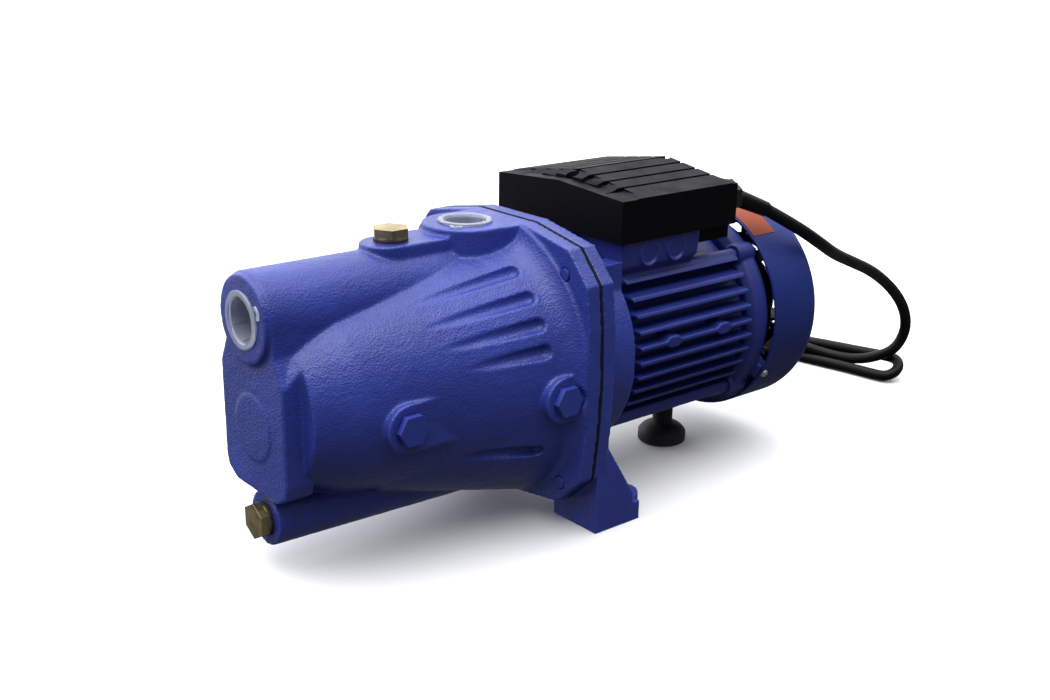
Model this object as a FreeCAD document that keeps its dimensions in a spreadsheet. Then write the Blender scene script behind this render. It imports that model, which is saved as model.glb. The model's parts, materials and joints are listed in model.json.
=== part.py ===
import FreeCAD, Part
import Sketcher
import math
import os
import re

# Shallow well jet pump. Millimetres. +X runs along the shaft from the suction face towards the fan,
# +Z is up, and the origin lies on the floor midway between the two foot bolts.

Vector = FreeCAD.Vector
Rotation = FreeCAD.Rotation

DRIVING = {
    # heights and the shaft line
    "shaft_height": 104.0,
    "frame_bottom": 28.0,
    # stations along the shaft
    "mouth_x": -235.5,
    "plate_x": -232.0,
    "dome_x": -219.5,
    "nose_x": -192.0,
    "flange_x": -54.0,
    "gasket_x": -44.0,
    "bracket_x": -42.0,
    "recess_x": -32.0,
    "bell_x": -20.0,
    "frame_x": 4.0,
    "shield_x": 122.0,
    "ring_end_x": 139.0,
    "cowl_x": 139.5,
    "cowl_end_x": 191.0,
    # pump casing
    "nose_radius": 59.0,
    "dome_radius": 85.0,
    "plate_half": 36.0,
    "wall": 7.0,
    "suction_height": 159.0,
    "pipe_radius": 28.0,
    "port_radius": 15.15,
    "port_thread": 18.0,
    "discharge_x": -78.0,
    "discharge_top": 195.0,
    "priming_x": -134.0,
    "priming_top": 190.5,
    "drain_height": 34.0,
    "drain_radius": 17.0,
    "plug_radius": 8.3,
    "plug_hexagon": 20.0,
    "side_plug_hexagon": 18.0,
    "flute_radius": 4.5,
    "side_plug_height": 97.6,
    "side_plug_front_x": -167.5,
    "side_plug_rear_x": -66.0,
    "ejector_wall_x": -206.0,
    "ejector_bore": 16.0,
    "side_boss_radius": 15.0,
    "flute_rear_x": -75.5,
    "flute_depth": 4.2,
    # flange and bolts
    "flange_bolt_y": 68.5,
    "flange_bolt_top": 171.0,
    "flange_bolt_low": 33.5,
    "bolt_radius": 4.0,
    # bracket feet
    "foot_inner": 47.0,
    "foot_outer": 88.0,
    "foot_bolt_y": 68.0,
    "foot_bolt_radius": 5.5,
    "foot_height": 13.0,
    # shaft and bearings
    "pump_shaft_radius": 6.0,
    "seal_shaft_radius": 7.5,
    "front_seat_radius": 8.5,
    "rotor_seat_radius": 9.5,
    "rear_seat_radius": 7.5,
    "front_ring_radius": 20.0,
    "front_bearing_x": -18.0,
    "front_bearing_width": 12.0,
    "rear_ring_radius": 17.5,
    "rear_bearing_x": 123.5,
    "rear_bearing_width": 11.0,
    # impeller and diffuser
    "impeller_radius": 57.0,
    "impeller_x": -72.0,
    "impeller_width": 12.0,
    "diffuser_x": -80.0,
    "diffuser_radius": 65.0,
    # motor
    "stator_x": 28.0,
    "stack_length": 70.0,
    "stator_radius": 55.0,
    "stator_bore": 31.0,
    "air_gap": 0.4,
    "frame_root": 62.0,
    "bell_radius": 75.0,
    "fin_tip": 74.0,
    "fin_pitch": 10.4,
    "fin_thickness": 2.8,
    "fin_height": 110.9,
    "tie_radius": 69.0,
    # fan and cowl
    "cowl_radius": 78.0,
    "cowl_wall": 1.5,
    "fan_radius": 66.0,
    "fan_x": 150.0,
    # terminal box
    "box_x": -1.0,
    "box_end_x": 107.0,
    "box_half": 62.0,
    "box_floor": 180.0,
    "lid_seam": 184.0,
    "lid_edge": 208.0,
    "lid_peak": 212.3,
    "ridge_top": 217.7,
    "gland_y": -48.0,
    "gland_height": 196.0,
    # rear foot and cord
    "rear_foot_x": 111.0,
    "cord_radius": 4.5,
    "hank_height": 18.5,
    "hank_crossing": 27.5,
    "hank_near_radius": 23.0,
    "hank_far_radius": 27.0,
    "hank_waist": 14.5,
    "hank_tie_from": 95.0,
    "tie_width": 8.0,
    "plug_height": 18.5,
}

document = FreeCAD.newDocument("jet_pump")
sheet = document.addObject("Spreadsheet::Sheet", "dims")
for row, (alias, size) in enumerate(DRIVING.items(), start=1):
    sheet.set(f"A{row}", alias)
    sheet.set(f"B{row}", str(size))
    sheet.setAlias(f"B{row}", alias)
document.recompute()

nodes = []


def formula(text):
    """The expression with each driving dimension written as the sheet's cell."""
    return re.sub(r"[a-z_]+", lambda word: f"dims.{word[0]}" if word[0] in DRIVING else word[0], str(text))


def size_of(text):
    """The expression's number in millimetres, worked out by a spare cell of the sheet."""
    sheet.set("D1", f"={text}")
    sheet.recompute()
    return float(sheet.get("D1"))


def bind(item, prop, text):
    """Sets a property from an expression, tied to the sheet where it names a dimension."""
    if re.fullmatch(r"-?[0-9.]+", str(text)) and "." not in prop:
        setattr(item, prop, float(text))
    else:
        item.setExpression(prop, formula(text))


TURNS = {
    "+X": Rotation(Vector(0, 1, 0), 90),
    "-X": Rotation(Vector(0, 1, 0), -90),
    "+Y": Rotation(Vector(1, 0, 0), -90),
    "-Y": Rotation(Vector(1, 0, 0), 90),
    "+Z": Rotation(),
    "-Z": Rotation(Vector(1, 0, 0), 180),
}


def place(item, x, y, z, rotation=None):
    """Puts an object at a point given as three expressions."""
    item.Placement = FreeCAD.Placement(Vector(), rotation or Rotation())
    for letter, text in zip("xyz", (x, y, z)):
        bind(item, f"Placement.Base.{letter}", text)
    return item


def cylinder(x, y, z, direction, radius, height):
    item = document.addObject("Part::Cylinder", "cylinder")
    bind(item, "Radius", radius)
    bind(item, "Height", height)
    return place(item, x, y, z, TURNS[direction])


def cone(x, y, z, direction, radius, end_radius, height):
    item = document.addObject("Part::Cone", "cone")
    bind(item, "Radius1", radius)
    bind(item, "Radius2", end_radius)
    bind(item, "Height", height)
    return place(item, x, y, z, TURNS[direction])


def block(x, y, z, length, width, height):
    """A box from its lowest corner."""
    item = document.addObject("Part::Box", "block")
    bind(item, "Length", length)
    bind(item, "Width", width)
    bind(item, "Height", height)
    return place(item, x, y, z)


def hexagon(x, y, z, direction, across_flats, height):
    item = document.addObject("Part::Prism", "hexagon")
    item.Polygon = 6
    bind(item, "Circumradius", f"({across_flats}) / 1.7320508")
    bind(item, "Height", height)
    return place(item, x, y, z, TURNS[direction])


def ball(x, y, z, radius):
    item = document.addObject("Part::Sphere", "ball")
    bind(item, "Radius", radius)
    return place(item, x, y, z)


def torus(x, y, z, direction, radius, section):
    item = document.addObject("Part::Torus", "torus")
    bind(item, "Radius1", radius)
    bind(item, "Radius2", section)
    return place(item, x, y, z, TURNS[direction])


def fuse(*items):
    if len(items) == 1:
        return items[0]
    item = document.addObject("Part::MultiFuse", "joined")
    item.Shapes = list(items)
    item.Refine = True
    return item


def cut(base, *tools):
    item = document.addObject("Part::Cut", "cut")
    item.Base = base
    item.Tool = fuse(*tools)
    item.Refine = True
    return item


def common(*items):
    item = document.addObject("Part::MultiCommon", "shared")
    item.Shapes = list(items)
    return item


def group(*items):
    item = document.addObject("Part::Compound", "group")
    item.Links = list(items)
    return item


def node(label, item):
    """Names a finished sub-part, which is also the name of its file."""
    item.Label = label
    nodes.append(item)
    return item


def draw(sketch, points):
    """Draws a closed outline through the points, a pair of expressions each. A point marked arc lies on
    a round stretch between its neighbours. Each point is tied to the sheet."""
    spots = [Vector(size_of(p[0]), size_of(p[1]), 0) for p in points]
    corners = [i for i, p in enumerate(points) if len(p) == 2]
    ends = []
    for this, after in zip(corners, corners[1:] + corners[:1]):
        middle = (this + 1) % len(points)
        if middle == after:
            edge = sketch.addGeometry(Part.LineSegment(spots[this], spots[after]), False)
            ends.append((edge, 1, 2))
            continue
        edge = sketch.addGeometry(Part.Arc(spots[this], spots[middle], spots[after]), False)
        chord = spots[after] - spots[this]
        anticlockwise = chord.cross(spots[middle] - spots[this]).z < 0
        ends.append((edge, 1, 2) if anticlockwise else (edge, 2, 1))
        guide = sketch.addGeometry(Part.Point(spots[middle]), True)
        sketch.addConstraint(Sketcher.Constraint("PointOnObject", guide, 1, edge))
        pin_point(sketch, guide, 1, points[middle])
    for i, (edge, first, last) in enumerate(ends):
        following, start = ends[(i + 1) % len(ends)][:2]
        sketch.addConstraint(Sketcher.Constraint("Coincident", edge, last, following, start))
        pin_point(sketch, edge, first, points[corners[i]])


def pin_point(sketch, edge, end, point):
    """Fixes one end of an edge at a point given as two expressions."""
    for kind, text in zip(("DistanceX", "DistanceY"), point):
        index = sketch.addConstraint(Sketcher.Constraint(kind, -1, 1, edge, end, size_of(text)))
        if "dims." in formula(text):
            sketch.setExpression(f"Constraints[{index}]", formula(text))


def body_with_sketch(plane, points):
    body = document.addObject("PartDesign::Body", "body")
    sketch = body.newObject("Sketcher::SketchObject", "sketch")
    origin_plane = next(f for f in body.Origin.OriginFeatures if f.Role == plane)
    sketch.AttachmentSupport = [(origin_plane, "")]
    sketch.MapMode = "FlatFace"
    draw(sketch, points)
    return body, sketch


def turned(points):
    """A body turned about the shaft line from an outline of (x, radius) points."""
    body, sketch = body_with_sketch("XZ_Plane", points)
    turn = body.newObject("PartDesign::Revolution", "turn")
    turn.Profile = sketch
    turn.ReferenceAxis = (sketch, ["H_Axis"])
    turn.Angle = 360.0
    return place(body, "0", "0", "shaft_height")


def padded(plane, points, length, x="0", y="0", z="0"):
    """A body padded from an outline on one of its own planes, along that plane's normal."""
    body, sketch = body_with_sketch(plane, points)
    pad = body.newObject("PartDesign::Pad", "pad")
    pad.Profile = sketch
    bind(pad, "Length", length)
    return place(body, x, y, z)


def mirrored_outline(half):
    """An outline symmetrical about y = 0 from the points of its positive side, first to last."""
    return half + [(f"-({y})", z) for y, z in reversed(half)]


FLANGE_OUTLINE = mirrored_outline([(28, 195), (71, 187), (89, 167), (92, 140), (93, 104), (91.5, 72),
                                   (88, 40), (66, 19), (25, 13)])


def flange_bolt_places():
    return [(side, height) for side in ("-flange_bolt_y", "flange_bolt_y")
            for height in ("flange_bolt_top", "flange_bolt_low")]


# angle above the shaft and station of the front end of each flute
FLUTE_PLACES = ((56.5, -148), (42, -148), (29.3, -142), (17.5, -130), (-30.3, -142))


def dome_surface(x):
    """The dome's radius at a station behind its nose."""
    rise = (size_of("dome_radius") - size_of("nose_radius")) / (size_of("flange_x") - size_of("nose_x"))
    return size_of("nose_radius") + rise * (x - size_of("nose_x"))


def flute(angle, front_x):
    """A round-ended tool at an angle above the shaft that scoops a flute into the dome. It touches the
    dome at its front and is sunk into it at its rear, so the flute fades out forwards."""
    radius = size_of("flute_radius")
    outward = Vector(0, math.cos(math.radians(angle)), math.sin(math.radians(angle)))
    shaft_line = Vector(0, 0, size_of("shaft_height"))
    rear_x = size_of("flute_rear_x")
    start = Vector(front_x, 0, 0) + shaft_line + outward * (dome_surface(front_x) + radius)
    sunk = radius - size_of("flute_depth")
    end = Vector(rear_x, 0, 0) + shaft_line + outward * (dome_surface(rear_x) + sunk)
    item = document.addObject("Part::Cylinder", "flute")
    item.Radius = radius
    item.Height = start.distanceToPoint(end)
    item.Placement = FreeCAD.Placement(start, Rotation(Vector(0, 0, 1), end - start))
    return fuse(item, ball(end.x, end.y, end.z, radius))


def pump_casing():
    """The iron casing: dome, front plate, suction pipe, lands, drain duct, flange and all its passages."""
    dome = turned([("dome_x", 0), ("dome_x", 48), ("nose_x", "nose_radius"), ("flange_x", "dome_radius"),
                   ("flange_x", 0)])
    nose = common(
        turned([("plate_x + 0.5", 0), ("plate_x + 0.5", 41), ("dome_x + 1", 48.3), ("dome_x + 1", 0)]),
        block("plate_x", "-plate_half", 40, "dome_x - plate_x + 2", "2 * plate_half", 130))
    plate = fuse(
        padded("YZ_Plane", mirrored_outline([
            (28, 159), (28, 142), ("plate_half", 126), ("plate_half", 66), (34, 58.5), (24, 52.5)]),
            "dome_x - plate_x + 6", "plate_x"),
        cylinder("plate_x - 0.7", 0, 93, "+X", 20, 2))
    pipe = cylinder("plate_x", 0, "suction_height", "+X", "pipe_radius", 150)
    mouth = cylinder("mouth_x", 0, "suction_height", "+X", "pipe_radius - 1.5", 6)
    web = block("plate_x + 6", -27.5, "shaft_height", 144, 55, "suction_height - shaft_height")
    priming_land = fuse(
        cylinder("priming_x - 4", 0, 160, "+Z", 16, "priming_top - 160"),
        block("priming_x - 4", -16, 160, "discharge_x - priming_x + 4", 32, "priming_top - 160"))
    discharge = fuse(
        cylinder("discharge_x", 0, "shaft_height", "+Z", 27.5, "discharge_top - shaft_height"),
        block("discharge_x", -27.5, "shaft_height", "flange_x - discharge_x + 1", 55,
              "discharge_top - shaft_height - 0.5"))
    flange = padded("YZ_Plane", FLANGE_OUTLINE, "gasket_x - flange_x", "flange_x")
    drain = fuse(
        cone("plate_x + 5", 0, "drain_height", "+X", "drain_radius", "drain_radius + 4",
             "flange_x - plate_x - 4"),
        block("plate_x + 9", -10, "drain_height", "flange_x - plate_x - 8", 20, 28))
    belly = cone(-165, 0, "shaft_height - 10", "+X", 57, "dome_radius - 0.5", "flange_x + 165")
    bosses = [side_boss(x, face, x_rear) for x, face, x_rear in (
        ("side_plug_front_x", "-67", "-100"), ("side_plug_rear_x", "-86.5", "flange_x + 1"))]
    flare = common(
        turned([("flange_x - 17", 0), ("flange_x - 17", 81), ("flange_x - 9", 84.5),
                ("flange_x - 4.5", 88, "arc"), ("flange_x - 1.8", 94), ("flange_x + 1", 94),
                ("flange_x + 1", 0)]),
        padded("YZ_Plane", FLANGE_OUTLINE, 19, "flange_x - 18"))
    outside = fuse(dome, belly, nose, plate, pipe, mouth, web, priming_land, discharge, flange, drain, flare,
                   *bosses)

    chamber = turned([("ejector_wall_x + wall", 0), ("ejector_wall_x + wall", 47),
                      ("flange_x", 77), ("gasket_x + 1", 77), ("gasket_x + 1", 0)])
    suction_thread = cylinder("mouth_x - 1", 0, "suction_height", "+X", "port_radius", "port_thread + 1")
    suction_neck = cylinder("mouth_x", 0, "suction_height", "+X", 13.5, 29)
    suction_duct = block("dome_x + 1.5", -18, 88, 12.5, 36, 52)
    suction_link = block("dome_x + 4.5", -13.5, 130, 9.5, 27, "suction_height - 130")
    air_space = cylinder("ejector_wall_x + wall", 0, "suction_height - 2", "+X", 19.5, 108)
    ejector_bore = cylinder("ejector_wall_x - 2", 0, "shaft_height", "+X", "ejector_bore", "wall + 4")
    gallery = block("plate_x + 3", -6, 63, 7.5, 12, 48)
    gallery_feed = cylinder("plate_x + 4", 0, 70, "+X", 5, "ejector_wall_x - plate_x + wall")
    nozzle_seat = cylinder("plate_x + 8", 0, "shaft_height", "+X", 9, 8)
    discharge_thread = cylinder("discharge_x", 0, "discharge_top + 1", "-Z", "port_radius", "port_thread + 1")
    discharge_neck = cylinder("discharge_x", 0, "discharge_top", "-Z", 13.5, 40)
    priming_hole = cylinder("priming_x", 0, "priming_top + 1", "-Z", "plug_radius", 31)
    drain_hole = cylinder("plate_x + 4", 0, "drain_height", "+X", "plug_radius", 60)
    drain_rise = cylinder("plate_x + 54", 0, "drain_height", "+Z", 7, 40)
    side_holes = [cylinder(x, "-90", "side_plug_height", "+Y", "plug_radius", depth)
                  for x, depth in (("side_plug_front_x", 40), ("side_plug_rear_x", 22))]
    rear_plug_land = cylinder("side_plug_rear_x", "-95", "side_plug_height", "+Y", 11.3, 8.5)
    bolt_holes = [cylinder("flange_x - 1", side, height, "+X", "bolt_radius + 0.05", 13)
                  for side, height in flange_bolt_places()]
    flutes = [flute(angle if side > 0 else 180 - angle, front_x) for side in (-1, 1)
              for angle, front_x in FLUTE_PLACES]
    node("pump_casing", cut(
        outside, chamber, suction_thread, suction_neck, suction_duct, suction_link, air_space, ejector_bore,
        gallery, gallery_feed, nozzle_seat, discharge_thread, discharge_neck, priming_hole, drain_hole,
        drain_rise, rear_plug_land, *side_holes, *bolt_holes, *flutes))


def side_boss(x, face, x_rear):
    """A flat land on the near side, round at its front and swallowed by the dome behind."""
    return fuse(
        cylinder(x, face, "side_plug_height", "+Y", "side_boss_radius", f"-({face}) - 40"),
        block(x, face, "side_plug_height - side_boss_radius", f"({x_rear}) - ({x})", f"-({face}) - 40",
              "2 * side_boss_radius"))


def casing_gasket():
    sheet_metal = padded("YZ_Plane", FLANGE_OUTLINE, "bracket_x - gasket_x", "gasket_x")
    holes = [cylinder("gasket_x - 1", side, height, "+X", "bolt_radius + 0.3", 4)
             for side, height in flange_bolt_places()]
    bore = cylinder("gasket_x - 1", 0, "shaft_height", "+X", 74, 4)
    node("casing_gasket", cut(sheet_metal, bore, *holes))


def bolt(x, y, z, direction, across_flats, head, radius, length):
    """A hexagon bolt whose shank points along the direction from under its head."""
    opposite = {"+": "-", "-": "+"}[direction[0]] + direction[1]
    return fuse(
        hexagon(x, y, z, opposite, across_flats, head),
        cylinder(x, y, z, direction, radius, length))


def flange_bolts():
    node("flange_bolts", group(*[
        bolt("recess_x", side, height, "-X", 13, 5.3, "bolt_radius", "recess_x - flange_x + 1")
        for side, height in flange_bolt_places()]))


def pump_bracket():
    """The iron bracket: flange, seal housing, bearing housing, motor bell, two legs and their feet."""
    flange = padded("YZ_Plane", FLANGE_OUTLINE, "recess_x - bracket_x", "bracket_x")
    hub = turned([("recess_x - 1", 0), ("recess_x - 1", 60), ("bell_x + 1", 64),
                  ("bell_x + 1", "bell_radius - 2"), ("bell_x + 5", "bell_radius"), ("frame_x", "bell_radius"),
                  ("frame_x", 0)])
    shoulders = [block("bell_x + 1", side, 146, "frame_x - bell_x - 1", 14, 22) for side in (-59, 45)]
    legs = []
    for side in ("-foot_outer", "foot_inner"):
        width = "foot_outer - foot_inner"
        legs.append(block("bracket_x + 3", side, 0, "recess_x - bracket_x - 3", width, 60))
        legs.append(block("bracket_x + 3", side, 0, "-bracket_x - 3", width, "foot_height"))
        legs.append(block(0, f"{side} + 8", 0, 3, "foot_outer - foot_inner - 16", "foot_height"))
    for side in (-1, 1):
        legs.append(cylinder(0, f"{side} * foot_bolt_y", 0, "+Z", 13, "foot_height"))
        gusset = [("recess_x - 1", 10), ("-6", 10), ("-6", 20), ("recess_x + 2", 58), ("recess_x - 1", 58)]
        for inner in ("foot_inner", "foot_outer - 9"):
            start = inner if side > 0 else f"-({inner}) - 9"
            legs.append(padded("XZ_Plane", gusset, 9, "0", f"({start}) + 9", "0"))
    lugs = [cylinder("bell_x + 1", y, z, "+X", 7, "frame_x - bell_x - 1") for y, z in tie_places()]
    outside = fuse(flange, hub, *shoulders, *legs, *lugs)

    seal_pocket = cylinder("bracket_x - 1", 0, "shaft_height", "+X", 15, 7)
    shaft_hole = cylinder("bracket_x", 0, "shaft_height", "+X", 9.5, 30)
    slinger_room = cylinder("bracket_x + 11", 0, "shaft_height", "+X", 24, 9)
    weep_slot = block("bracket_x + 11", -8, "shaft_height - 75", 9, 16, 70)
    bearing_seat = cylinder("front_bearing_x", 0, "shaft_height", "+X", "front_ring_radius", 40)
    winding_room = cut(
        cylinder("front_bearing_x + 6", 0, "shaft_height", "+X", 57, 40),
        cylinder("front_bearing_x + 5", 0, "shaft_height", "+X", 26, "front_bearing_width - 4"))
    foot_holes = [cylinder(0, f"{side} * foot_bolt_y", -1, "+Z", "foot_bolt_radius", "foot_height + 2")
                  for side in (-1, 1)]
    bolt_holes = [cylinder("bracket_x - 1", side, height, "+X", "bolt_radius + 0.3", 14)
                  for side, height in flange_bolt_places()]
    tie_holes = [cylinder("bell_x", y, z, "+X", 2.55, 30) for y, z in tie_places()]
    node("pump_bracket", cut(
        outside, seal_pocket, shaft_hole, slinger_room, weep_slot, bearing_seat, winding_room,
        *foot_holes, *bolt_holes, *tie_holes))


def tie_places():
    return [(f"{a} * tie_radius * 0.7071", f"shaft_height + {b} * tie_radius * 0.7071")
            for a in (-1, 1) for b in (-1, 1)]


def tie_bolts():
    node("motor_tie_bolts", group(*[
        bolt("ring_end_x", y, z, "-X", 8, 3.5, 2.5, "ring_end_x - bell_x - 6") for y, z in tie_places()]))


def hex_plug(label, x, y, z, direction, seat):
    """A brass G3/8 plug with a flange, a hexagon head and a hollow end, and its flat sealing washer."""
    opposite = {"+": "-", "-": "+"}[direction[0]] + direction[1]
    step = Vector(*[float(letter == direction[1]) for letter in "XYZ"]) * float(direction[0] + "1")

    def along(distance):
        return [f"({text}) + ({distance * amount})" for text, amount in zip((x, y, z), step)]

    solid = fuse(
        hexagon(*along(seat + 1.3), direction, "plug_hexagon", 5.4),
        cylinder(*along(seat), direction, 10.4, 1.5),
        cylinder(*along(seat), opposite, "plug_radius - 0.05", 11))
    plug = cut(solid, cylinder(*along(seat - 11.5), direction, 5, 7))
    washer = cut(cylinder(*along(0), direction, 10.6, seat - 0.02), cylinder(*along(-1), direction, 8.6, 4))
    node(label, plug)
    node(f"{label}_washer", washer)


def side_plugs():
    """Two painted blanking plugs that close the gauge bosses on the near side."""
    node("side_plugs", group(*[
        fuse(hexagon(x, y, "side_plug_height", "-Y", "side_plug_hexagon", 4.5),
             cylinder(x, y, "side_plug_height", "+Y", "plug_radius - 0.05", 9))
        for x, y in (("side_plug_front_x", "-67.02"), ("side_plug_rear_x", "-86.52"))]))


def ejector():
    """The nozzle, the venturi tube behind it and the ring that seals the tube in the ejector wall."""
    node("ejector_nozzle", turned([
        ("dome_x - 4", 6), ("dome_x - 4", 8.95), ("dome_x + 1.55", 8.95), ("dome_x + 1.55", 11),
        ("dome_x + 6", 11), ("dome_x + 9", 8), ("ejector_wall_x + 6", 4.6), ("ejector_wall_x + 6", 3),
        ("dome_x + 9", 5)]))
    node("venturi_tube", turned([
        ("ejector_wall_x - 1", 12.5), ("ejector_wall_x - 1", 15), ("ejector_wall_x + 1.5", 15),
        ("ejector_wall_x + 1.5", 13.6), ("ejector_wall_x + 5", 13.6), ("ejector_wall_x + 5", 15.8),
        ("ejector_wall_x + wall", 15.8), ("ejector_wall_x + wall", 19), ("ejector_wall_x + 11", 19),
        ("ejector_wall_x + 26", 9), ("ejector_wall_x + 44", 9), ("diffuser_x - 3", 14.5),
        ("diffuser_x + 4", 14.5), ("diffuser_x + 4", 12), ("diffuser_x - 3", 12),
        ("ejector_wall_x + 44", 5.5), ("ejector_wall_x + 26", 5.5)]))
    node("venturi_seal", cut(
        torus("ejector_wall_x + 3.25", 0, "shaft_height", "+X", 14.75, 1.6),
        cut(cylinder("ejector_wall_x - 3", 0, "shaft_height", "+X", 25, 12),
            cylinder("ejector_wall_x - 4", 0, "shaft_height", "+X", 15.95, 14)),
        cylinder("ejector_wall_x - 3", 0, "shaft_height", "+X", 13.65, 12)))


def diffuser():
    """The plastic diffuser: eye ring, front wall with return vanes, slotted rim and clamped outer flange."""
    cup = turned([
        ("diffuser_x", 14.6), ("diffuser_x", "diffuser_radius"), ("flange_x + 6.5", "diffuser_radius"),
        ("flange_x + 6.5", 76.7), ("gasket_x - 0.05", 76.7), ("gasket_x - 0.05", "diffuser_radius - 3"),
        ("diffuser_x + 3", "diffuser_radius - 3"), ("diffuser_x + 3", 18), ("diffuser_x + 6", 18),
        ("diffuser_x + 6", 14.6)])
    windows = []
    vanes = []
    for step in range(6):
        angle = step * 60.0
        window = block("diffuser_x + 9", -14, "diffuser_radius - 8", 18, 28, 14)
        windows.append(spun(window, angle, "diffuser_x + 9", -14, "diffuser_radius - 8"))
        vane = block("diffuser_x - 6", -1.5, 24, 6.5, 3, 30)
        vanes.append(spun(vane, angle + 30.0, "diffuser_x - 6", -1.5, 24))
    node("diffuser", cut(fuse(cup, *vanes), *windows))


def spun(item, angle, x, y, z):
    """Turns an object about the shaft line. x, y and z are its place as if the shaft were at z = 0."""
    turn = Rotation(Vector(1, 0, 0), angle)
    spot = turn.multVec(Vector(0, size_of(y), size_of(z)))
    return place(item, x, str(spot.y), f"shaft_height + ({spot.z})", turn)


def impeller():
    """The closed brass impeller: hub, two shrouds and six curved blades between them."""
    front = turned([("impeller_x", 14), ("impeller_x", "impeller_radius"),
                    ("impeller_x + 1.8", "impeller_radius"), ("impeller_x + 1.8", 14)])
    back_x = "impeller_x + impeller_width"
    rear = turned([(f"{back_x} - 2", 6.02), (f"{back_x} - 2", "impeller_radius"),
                   (back_x, "impeller_radius"), (back_x, 6.02)])
    hub = turned([("impeller_x + 3", 6.02), ("impeller_x + 3", 9), (f"{back_x} - 2", 12),
                  (f"{back_x} + 1", 12), (f"{back_x} + 1", 6.02)])
    ring = cut(cylinder("impeller_x + 1", 0, "shaft_height", "+X", "impeller_radius - 0.5", 10),
               cylinder("impeller_x", 0, "shaft_height", "+X", 16, 14))
    blades = []
    for step in range(6):
        angle = math.radians(60.0 * step)
        y = str(30.0 * math.cos(angle))
        z = f"shaft_height + ({30.0 * math.sin(angle)})"
        half = block("impeller_x", -80, -80, 14, 160, 80)
        turn = Rotation(Vector(1, 0, 0), math.degrees(angle))
        corner = turn.multVec(Vector(0, -80, -80))
        place(half, "impeller_x", str(corner.y), f"shaft_height + ({corner.z})", turn)
        shell = cut(cylinder("impeller_x + 1", y, z, "+X", 30, 10),
                    cylinder("impeller_x", y, z, "+X", 27.8, 12), half)
        blades.append(common(shell, ring))
    node("impeller", fuse(front, rear, hub, *blades))


def shaft_set():
    """The stepped motor shaft with the parts held on it."""
    node("motor_shaft", turned([
        ("impeller_x - 7", 0), ("impeller_x - 7", "pump_shaft_radius - 0.5"),
        ("impeller_x - 6.5", "pump_shaft_radius"),
        ("impeller_x + impeller_width + 1.02", "pump_shaft_radius"),
        ("impeller_x + impeller_width + 1.02", "seal_shaft_radius"),
        ("front_bearing_x - 3", "seal_shaft_radius"), ("front_bearing_x - 3", "front_seat_radius"),
        ("front_bearing_x + front_bearing_width + 0.02", "front_seat_radius"),
        ("front_bearing_x + front_bearing_width + 0.02", "rotor_seat_radius + 2"),
        ("stator_x - 12", "rotor_seat_radius + 2"), ("stator_x - 12", "rotor_seat_radius"),
        ("rear_bearing_x - 6", "rotor_seat_radius"), ("rear_bearing_x - 0.02", "rotor_seat_radius"),
        ("rear_bearing_x - 0.02", "rear_seat_radius"), ("cowl_end_x - 16.5", "rear_seat_radius"),
        ("cowl_end_x - 16", "rear_seat_radius - 0.5"), ("cowl_end_x - 16", 0)]))
    node("impeller_nut", cut(
        hexagon("impeller_x + 2.98", 0, "shaft_height", "-X", 17, 8),
        cylinder("impeller_x - 10", 0, "shaft_height", "+X", "pump_shaft_radius + 0.02", 20)))
    node("water_slinger", turned([
        ("bracket_x + 13", 7.52), ("bracket_x + 13", 19), ("bracket_x + 14.5", 19),
        ("bracket_x + 14.5", 11), ("bracket_x + 18", 11), ("bracket_x + 18", 7.52)]))
    node("rotor_core", turned([
        ("stator_x", "rotor_seat_radius + 0.02"), ("stator_x", "stator_bore - air_gap"),
        ("stator_x + stack_length", "stator_bore - air_gap"),
        ("stator_x + stack_length", "rotor_seat_radius + 0.02")]))
    end_rings = []
    for x, outward in (("stator_x - 8", "stator_x - 0.02"), ("stator_x + stack_length + 0.02",
                                                            "stator_x + stack_length + 8")):
        end_rings.append(turned([(x, 19), (x, 29), (outward, 29), (outward, 19)]))
    node("rotor_end_rings", group(*end_rings))


def shaft_seal():
    """The carbon face, its spring and the ceramic seat that make the mechanical seal."""
    node("seal_seat", turned([
        ("bracket_x - 0.5", 9.5), ("bracket_x - 0.5", 14), ("bracket_x + 0.6", 14.9),
        ("bracket_x + 5.95", 14.9), ("bracket_x + 5.95", 9.5)]))
    node("seal_head", turned([
        ("bracket_x - 6.5", 7.52), ("bracket_x - 6.5", 14), ("bracket_x - 3", 14), ("bracket_x - 3", 11.5),
        ("bracket_x - 0.52", 11.5), ("bracket_x - 0.52", 7.52)]))
    wire = 0.8
    helix = document.addObject("Part::Helix", "seal_helix")
    helix.Pitch = 2.6
    helix.Height = 7.8
    helix.Radius = 11.0
    section = document.addObject("Part::Circle", "seal_wire")
    section.Radius = wire
    section.Placement = FreeCAD.Placement(Vector(11, 0, 0), Rotation(Vector(1, 0, 0), 90))
    spring = document.addObject("Part::Sweep", "seal_spring")
    spring.Sections = [section]
    spring.Spine = (helix, ["Edge1"])
    spring.Solid = True
    spring.Frenet = True
    place(spring, "bracket_x - 15.8", 0, "shaft_height", TURNS["+X"])
    node("seal_spring", spring)


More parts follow.
